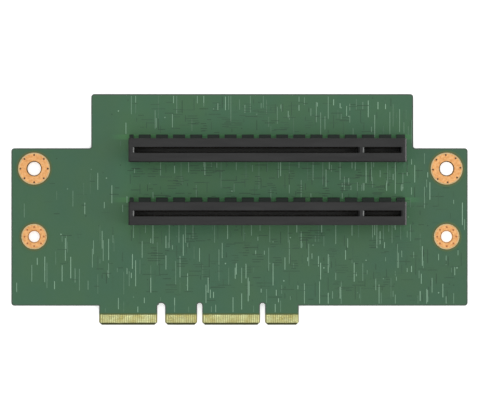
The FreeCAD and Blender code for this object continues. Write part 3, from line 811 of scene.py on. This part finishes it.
def makeRing(name):
    sizes = ringSizes | ringSizes["upper" if "upper" in name else "lower"]
    low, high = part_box(name)
    middle = (low + high) / 2
    radius = (high.x - low.x) / 2
    viaRadius = sizes["via"] / 2 * mm
    bore = sizes["bore"] / 2 * mm
    step = sizes["step"] * mm
    turn = math.radians(sizes["rightTurn"]) if name.endswith("upper_right") else 0.0
    vias = []
    for number in range(sizes["vias"]):
        angle = turn + math.tau * number / sizes["vias"]
        vias.append((middle.x + sizes["viaCircle"] / 2 * mm * math.cos(angle),
                     middle.y + sizes["viaCircle"] / 2 * mm * math.sin(angle)))

    outer = circle(middle.x, middle.y, radius + sizes["bead"] * mm, sizes["sides"])
    edge = circle(middle.x, middle.y, radius, sizes["sides"])
    rimEdge = circle(middle.x, middle.y, radius - sizes["rimWidth"] * mm, sizes["sides"])
    wall = circle(middle.x, middle.y, bore + sizes["wall"] * mm, sizes["boreSides"])
    hole = circle(middle.x, middle.y, bore, sizes["boreSides"])
    viaHoles = [circle(x, y, viaRadius, sizes["viaSides"]) for x, y in vias]

    barrel = makePlate([wall, hole], low.z, high.z)
    pieces = [addPiece(name + "_barrel", barrel,
                       looks["barrel" if "upper" in name else "barrelBright"])]
    for side, bottom, top, beadLow, beadHigh, lift, dip in (
            ("front", boardHigh.z - film, high.z, boardHigh.z - film, boardHigh.z, 0, step),
            ("back", low.z, boardLow.z + film, boardLow.z, boardLow.z + film, step, 0)):
        land = makePlate([rimEdge, wall] + viaHoles, bottom + lift, top - dip)
        pieces.append(addPiece(f"{name}_{side}_land", land, looks["copper"]))
        rim = makePlate([edge, rimEdge], bottom, top)
        pieces.append(addPiece(f"{name}_{side}_rim", rim, looks["rim"]))
        bead = makePlate([outer, edge], beadLow, beadHigh)
        # the bead's attribute goes from 0 at the ring to 1 outside, where it thins out
        fade = bead.attributes.new("fade", "FLOAT", "POINT")
        for vert, value in zip(bead.vertices, fade.data):
            distance = math.hypot(vert.co.x - middle.x, vert.co.y - middle.y)
            value.value = (distance - radius) / (sizes["bead"] * mm)
        pieces.append(addPiece(f"{name}_{side}_bead", bead, looks["bead"]))
    for piece in pieces:
        finishEdges(piece, sizes["edge"])

    plugs = bmesh.new()
    for x, y in vias:
        for level, outward in ((boardHigh.z - film, 1), (boardLow.z + film, -1)):
            plug = bmesh.ops.create_cone(plugs, cap_ends=True, segments=sizes["viaSides"], radius1=viaRadius,
                                         radius2=viaRadius, depth=sizes["plug"] * mm)
            bmesh.ops.translate(plugs, verts=plug["verts"],
                                vec=(x, y, level + outward * sizes["plug"] / 2 * mm))
    addPiece(name + "_vias", closeShape(plugs, name + "_vias"),
             looks["via" if "upper" in name else "viaBright"])
    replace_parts(pieces[1], name)


for ringName in ringNames:
    makeRing(ringName)
print("mounting rings made")


# edge fingers

fingerSizes = {"pitch": 0.6, "width": 0.4, "edge": 0.03}


def makeFingers(node):
    low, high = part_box(node)
    front = low.z > boardLow.z
    bottom = boardHigh.z - film if front else low.z
    top = high.z if front else boardLow.z + film
    pitch = fingerSizes["pitch"] * mm
    width = fingerSizes["width"] * mm
    shape = shapeObject(node + "_shape", blockShape(
        width, high.y - low.y, top - bottom, fingerSizes["edge"] * mm))
    piece = grow(node + "_gold", rowTree, {
        "Shape": shape, "Count": round((high.x - low.x - width) / pitch) + 1,
        "Start": (low.x + width / 2, (low.y + high.y) / 2, bottom), "Step": (pitch, 0, 0),
        "Material": looks["gold"]})
    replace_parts(piece, node)


for tab in ("first", "second", "third", "fourth"):
    for side in ("front", "back"):
        makeFingers(f"{side}_fingers_{tab}_tab")
print("fingers made")


# slot housings, contacts and solder joints

slotSizes = {
    "pitch": 1.0,             # contact to contact
    "runs": [(2.7, 71), (76.3, 11)],   # first contact from the housing's left end, and how many
    "edge": 0.07,             # rounding of the moulding
    "flat": 0.02,             # faces closer to one plane than this angle are joined
    "ribWidth": 0.3,          # rib between two contacts
    "ribEdge": 0.02,
    "slotHalf": 0.9,
    "highlightSliverAt": 1.65,           # middle of the long mouth's highlight sliver from the housing's left end
    "highlightSliverStep": 73.6,         # and on to the short mouth's
    "highlightSliver": (0.24, 1.76, 0.35),
    "highlightSliverEdge": 0.04,
    "highlightSliverUnder": 0.5,         # its foot below the housing's top
    "channelHalf": 2.12,
    "lip": 1.4,
    # a contact's foot, crest and tip: out from the middle, above the board
    "leaf": ((1.82, 0.0), (0.5, 7.0), (1.62, 9.42)),
    "bend": 0.9,
    "bendSteps": 4,
    "strip": 0.22,            # thickness of the sprung strip
    "contactWidth": 0.56,
    "tipShare": 0.7,          # of the strip's width
    "jointRows": [(3.0, 0, 2), (1.0, 1, 2)],   # out from the middle, first contact, step
    "jointSides": 10,
    "jointBase": 0.55,
    "tail": 0.2,
    # shares of the radius and the height: up the tail, then up the fillet at its base
    "tailProfile": ((0.6, 0.0), (1.0, 0.06), (1.05, 0.35), (1.35, 0.6)),
    "baseProfile": ((0.66, 0.84), (0.95, 0.97), (1.0, 1.0)),
}


def smoothPath(points, radius, count):
    # straight runs with their inner corners rounded
    path = [points[0]]
    for before, here, after in zip(points, points[1:], points[2:]):
        first = (here - before).normalized() * radius
        second = (after - here).normalized() * radius
        for i in range(count + 1):
            t = i / count
            path.append((here - first) * (1 - t) ** 2 + here * 2 * t * (1 - t) + (here + second) * t * t)
    path.append(points[-1])
    return path


def stripShape(points, width, thick):
    # a flat strip bent along a path in the YZ plane, with a narrowed tip
    def build(bm):
        rows = []
        for i, here in enumerate(points):
            before = points[max(i - 1, 0)]
            after = points[min(i + 1, len(points) - 1)]
            along = (after - before).normalized()
            side = Vector((-along.y, along.x)) * thick / 2
            half = width / 2 * (slotSizes["tipShare"] if i == len(points) - 1 else 1)
            corners = ((-half, here - side), (half, here - side), (half, here + side), (-half, here + side))
            rows.append([bm.verts.new((x, spot.x, spot.y)) for x, spot in corners])
        skin(bm, rows)
    return build


def makeMoulding(slot):
    node = slot + "_housing"
    bm = openShape(node)
    bmesh.ops.dissolve_limit(bm, angle_limit=slotSizes["flat"], verts=bm.verts, edges=bm.edges)
    moulding = addPiece(slot + "_moulding", closeShape(bm, slot + "_moulding"),
                        looks["plastic"])
    finishEdges(moulding, slotSizes["edge"])
    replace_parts(moulding, node)


def makeContacts(slot, left, middle, top):
    # a row of sprung strips and the ribs between them, in each wall
    sizes = slotSizes
    base = boardHigh.z
    pitch = sizes["pitch"] * mm
    depth = (sizes["channelHalf"] - sizes["slotHalf"]) * mm
    rib = shapeObject(slot + "_rib", blockShape(
        sizes["ribWidth"] * mm, depth, top - sizes["lip"] * mm - base, sizes["ribEdge"] * mm))
    for sign, side in ((1, "far"), (-1, "near")):
        across = middle + sign * (sizes["slotHalf"] * mm + depth / 2)
        path = smoothPath([Vector((sign * out * mm, rise * mm)) for out, rise in sizes["leaf"]],
                          sizes["bend"] * mm, sizes["bendSteps"])
        strip = shapeObject(f"{slot}_strip_{side}", stripShape(
            path, sizes["contactWidth"] * mm, sizes["strip"] * mm))
        pieces = []
        for run, (first, count) in enumerate(sizes["runs"]):
            x = left + first * mm
            grow(f"{slot}_ribs_{side}_{run + 1}", rowTree, {
                "Shape": rib, "Count": count - 1, "Start": (x + pitch / 2, across, base),
                "Step": (pitch, 0, 0), "Material": looks["plastic"]})
            pieces.append(grow(f"{slot}_springs_{side}_{run + 1}", rowTree, {
                "Shape": strip, "Count": count, "Start": (x, middle, base), "Step": (pitch, 0, 0),
                "Material": looks["spring"]}))
        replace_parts(pieces[0], f"{slot}_contacts_{side}")


# painted highlight: a pale sliver at the left end of each mouth, standing for the light caught on its lead-in
def makeHighlightSlivers(slot, left, middle, top):
    wide, long, tall = (size * mm for size in slotSizes["highlightSliver"])
    highlightSliver = shapeObject(slot + "_burr", blockShape(wide, long, tall, slotSizes["highlightSliverEdge"] * mm))
    grow(slot + "_burrs", rowTree, {
        "Shape": highlightSliver, "Count": 2, "Step": (slotSizes["highlightSliverStep"] * mm, 0, 0), "Material": looks["highlightSliver"],
        "Start": (left + slotSizes["highlightSliverAt"] * mm, middle, top - slotSizes["highlightSliverUnder"] * mm)})


def makeJoints(slot, left, middle):
    # four rows of solder joints under the board, in step with the contacts
    sizes = slotSizes
    height = boardLow.z
    profile = [(out * radius * mm, up * height)
               for radius, stretch in ((sizes["tail"], "tailProfile"), (sizes["jointBase"], "baseProfile"))
               for out, up in sizes[stretch]]
    joint = shapeObject(slot + "_joint", turnedShape(profile, sizes["jointSides"]))
    pieces = []
    for out, skip, step in sizes["jointRows"]:
        for sign in (1, -1):
            for first, count in sizes["runs"]:
                pieces.append(grow(f"{slot}_joints_{len(pieces) + 1}", rowTree, {
                    "Shape": joint, "Count": (count - skip + step - 1) // step,
                    "Start": (left + (first + skip * sizes["pitch"]) * mm, middle + sign * out * mm, 0),
                    "Step": (sizes["pitch"] * step * mm, 0, 0), "Material": looks["solder"]}))
    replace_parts(pieces[0], slot + "_solder_joints")


def makeSlot(slot):
    low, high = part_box(slot + "_housing")
    middle = (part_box(slot + "_contacts_near")[0].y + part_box(slot + "_contacts_far")[1].y) / 2
    makeMoulding(slot)
    makeContacts(slot, low.x, middle, high.z)
    makeHighlightSlivers(slot, low.x, middle, high.z)
    makeJoints(slot, low.x, middle)


for slotName in ("upper_slot", "lower_slot"):
    makeSlot(slotName)
print("slots made")


# floor, light and camera

studio = {
    "cameraHeight": 1.0,      # metres above the board's face
    "cameraAt": (0.00016, -0.00018),
    "lens": 231.8,
    "sensor": 36.0,
    "clip": (0.01, 10.0),
    "world": "f6f7f8",
    "worldStrength": 0.3,
    "floorSize": 3.0,
    "softboxTilt": 27,        # degrees off the vertical
    "softboxAway": 1.4,
    "softboxSize": 0.7,
    # four softboxes round the camera, the far and right ones a little stronger
    "softboxes": (("softboxFar", 0, 1, 4.4), ("softboxRight", 1, 0, 3.9),
                  ("softboxNear", 0, -1, 3.4), ("softboxLeft", -1, 0, 3.4)),
    # and a low strip at the right: place, aim, width, height, watts
    "lowRight": ((0.7, 0.0, 0.07), (0, 0, 0.012), 0.6, 0.09, 6.0),
}


def addLight(name, place, aim, width, length, power):
    # a rectangular lamp that faces its aim
    lamp = bpy.data.lights.new(name, "AREA")
    lamp.shape = "RECTANGLE"
    lamp.size = width
    lamp.size_y = length
    lamp.energy = power
    holder = bpy.data.objects.new(name, lamp)
    holder.location = place
    holder.rotation_mode = "QUATERNION"
    holder.rotation_quaternion = (Vector(aim) - Vector(place)).to_track_quat("-Z", "Y")
    scene.collection.objects.link(holder)


def makeStudio():
    bm = bmesh.new()
    bmesh.ops.create_grid(bm, x_segments=2, y_segments=2, size=studio["floorSize"])
    mesh = closeShape(bm, "floor")
    mesh.materials.append(looks["paper"])
    floor = bpy.data.objects.new("floor", mesh)
    scene.collection.objects.link(floor)

    world = bpy.data.worlds.new("softRoom")
    world.use_nodes = True
    scene.world = world
    background = world.node_tree.nodes["Background"]
    background.inputs["Color"].default_value = linear(studio["world"])
    background.inputs["Strength"].default_value = studio["worldStrength"]

    tilt = math.radians(studio["softboxTilt"])
    away = studio["softboxAway"]
    for name, x, y, power in studio["softboxes"]:
        place = (x * away * math.sin(tilt), y * away * math.sin(tilt), away * math.cos(tilt))
        addLight(name, place, (0, 0, 0), studio["softboxSize"], studio["softboxSize"], power)
    addLight("lowRight", *studio["lowRight"])

    camera = bpy.data.cameras.new("camera")
    camera.lens = studio["lens"]
    camera.sensor_width = studio["sensor"]
    camera.clip_start, camera.clip_end = studio["clip"]
    holder = bpy.data.objects.new("camera", camera)
    holder.location = (*studio["cameraAt"], boardHigh.z + studio["cameraHeight"])
    scene.collection.objects.link(holder)
    scene.camera = holder
    scene.view_settings.view_transform = "Standard"


makeStudio()
print("studio made")
